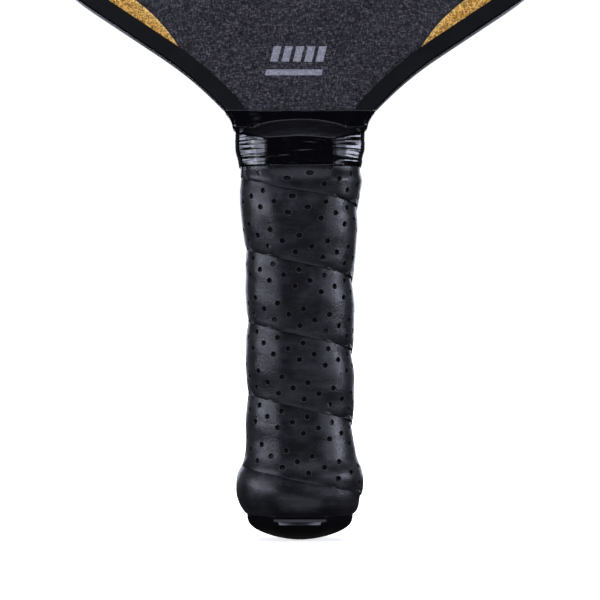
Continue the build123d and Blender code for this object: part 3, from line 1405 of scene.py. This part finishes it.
SOFTBOXES = (
    Softbox("left_wide", (-0.80, -0.66, 0.26), (0.72, 0.30), 5.4),
    Softbox("right_wide", (0.80, -0.66, 0.26), (0.72, 0.30), 2.7),
    Softbox("left_soft", (-0.46, -0.90, 0.20), (0.20, 0.26), 0.8),
    Softbox("right_soft", (0.40, -0.92, 0.20), (0.20, 0.26), 0.7),
    Softbox("left_strip", (-0.97, -0.235, 0.21), (0.34, 0.17), 9.5),
    Softbox("right_strip", (0.97, -0.235, 0.21), (0.34, 0.17), 14.0),
    Softbox("shoulder_box", (0.0, -0.85, 1.0), (0.9, 0.5), 1.2),
    Softbox("left_side", (-0.90, 0.55, 0.15), (0.6, 0.5), 0.11),
    Softbox("right_side", (0.90, 0.55, 0.15), (0.6, 0.5), 0.11),
    Softbox("low_front", (0.0, -1.05, -0.46), (1.1, 0.40), 1.2),
    Softbox("back_left", (-0.42, 1.05, 0.25), (0.4, 0.5), 2.4),
    Softbox("back_right", (0.42, 1.05, 0.25), (0.4, 0.5), 2.4),
    Softbox("back_fill", (0.0, 1.3, 1.35), (1.6, 1.0), 4.0, False),
    Softbox("top_box", (0.0, -0.2, 1.45), (1.5, 1.2), 0.20),
    Softbox("front_fill", (0.0, -1.3, 1.35), (1.6, 1.0), 3.8, False),
    Softbox("card_left", (-0.0120, -0.25, -0.24), (0.008, 0.16), 5.0),
    Softbox("card_right", (0.0085, -0.25, -0.24), (0.005, 0.16), 5.0),
    Softbox("card_middle", (0.0, -0.25, -0.23), (0.030, 0.08), 0.15),
)


@dataclass
class Studio:
    """A pale floor, soft light from all sides and above, and a level camera."""

    lens: float = 150.0
    view_width: float = 196.2 * MM
    view_height: float = 78.3 * MM
    sensor: float = 36.0
    floor_radius: float = 14.0
    centre: Vector = Vector((0.0, 0.0, 0.12))
    tint: Colour = (0.79, 0.82, 1.0)
    sky_seen: float = 1.05
    sky_cast: float = 0.02
    sun_strength: float = 3.9
    sun_spread: float = 50.0

    def camera(self) -> None:
        """Places the camera square to the front face."""
        data = bpy.data.cameras.new("camera")
        data.lens = self.lens
        data.sensor_width = self.sensor
        data.clip_start = 0.01
        camera = bpy.data.objects.new("camera", data)
        distance = self.view_width * self.lens / self.sensor
        camera.location = (0.0, -distance, self.view_height)
        camera.rotation_euler = (math.pi / 2, 0.0, 0.0)
        bpy.context.scene.collection.objects.link(camera)
        bpy.context.scene.camera = camera

    def floor(self) -> None:
        """Lays a round pale floor under the butt."""
        board = Coating("studio_floor")
        speck = board.noise((40.0, 40.0, 40.0), 2.0, 0.5)
        shade = board.blend(speck, (0.90, 0.90, 0.90), (0.93, 0.93, 0.93))
        material = board.finish(
            Base_Color=shade,
            Roughness=0.9,
            Emission_Color=shade,
            Emission_Strength=0.8,
        )
        build = bmesh.new()
        bmesh.ops.create_circle(build, cap_ends=True, segments=96, radius=self.floor_radius)
        mesh = bpy.data.meshes.new("floor")
        build.to_mesh(mesh)
        build.free()
        floor = bpy.data.objects.new("floor", mesh)
        bpy.context.scene.collection.objects.link(floor)
        dress(floor, material)
        floor.visible_glossy = False
        floor.visible_diffuse = False
        floor.visible_shadow = False

    def hang(self, box: Softbox) -> None:
        """Adds a soft light that faces the paddle.

        Args:
            box: the light.
        """
        data = bpy.data.lights.new(box.name, "AREA")
        data.shape = "RECTANGLE"
        data.size, data.size_y = box.size
        data.energy = box.radiance * math.pi * data.size * data.size_y
        data.color = self.tint
        light = bpy.data.objects.new(box.name, data)
        light.location = box.place
        light.rotation_euler = (self.centre - Vector(box.place)).to_track_quat("-Z", "Y").to_euler()
        light.visible_camera = False
        light.visible_glossy = box.shiny
        bpy.context.scene.collection.objects.link(light)

    def sky(self) -> None:
        """Sets the world white to the camera and dim for lighting."""
        world = bpy.data.worlds.new("studio_air")
        world.use_nodes = True
        board = Board(world.node_tree)
        direct = board.node("ShaderNodeLightPath", {}, {}, "Is Camera Ray")
        sockets = {"Value": direct, "To Min": self.sky_cast, "To Max": self.sky_seen}
        background = world.node_tree.nodes["Background"]
        board.feed(background.inputs["Strength"], board.node("ShaderNodeMapRange", {}, sockets))
        board.feed(background.inputs["Color"], (1.0, 1.0, 1.0))
        bpy.context.scene.world = world

    def sun(self) -> None:
        """Adds a wide soft light from straight above."""
        data = bpy.data.lights.new("overhead", "SUN")
        data.energy = self.sun_strength
        data.angle = math.radians(self.sun_spread)
        light = bpy.data.objects.new("overhead", data)
        light.visible_camera = False
        light.visible_glossy = False
        bpy.context.scene.collection.objects.link(light)

    def build(self) -> None:
        """Sets up the whole studio."""
        bpy.context.scene.view_settings.view_transform = "Standard"
        self.camera()
        self.floor()
        self.sky()
        self.sun()
        for box in SOFTBOXES:
            self.hang(box)


def main() -> None:
    """Builds the studio and the paddle in order, and reports each piece."""
    logging.basicConfig(level=logging.INFO, format="%(message)s")
    Studio().build()
    for piece in Paddle().build():
        log.info("%s: %d faces", piece.name, len(piece.data.polygons))


if __name__ == "__main__":
    main()
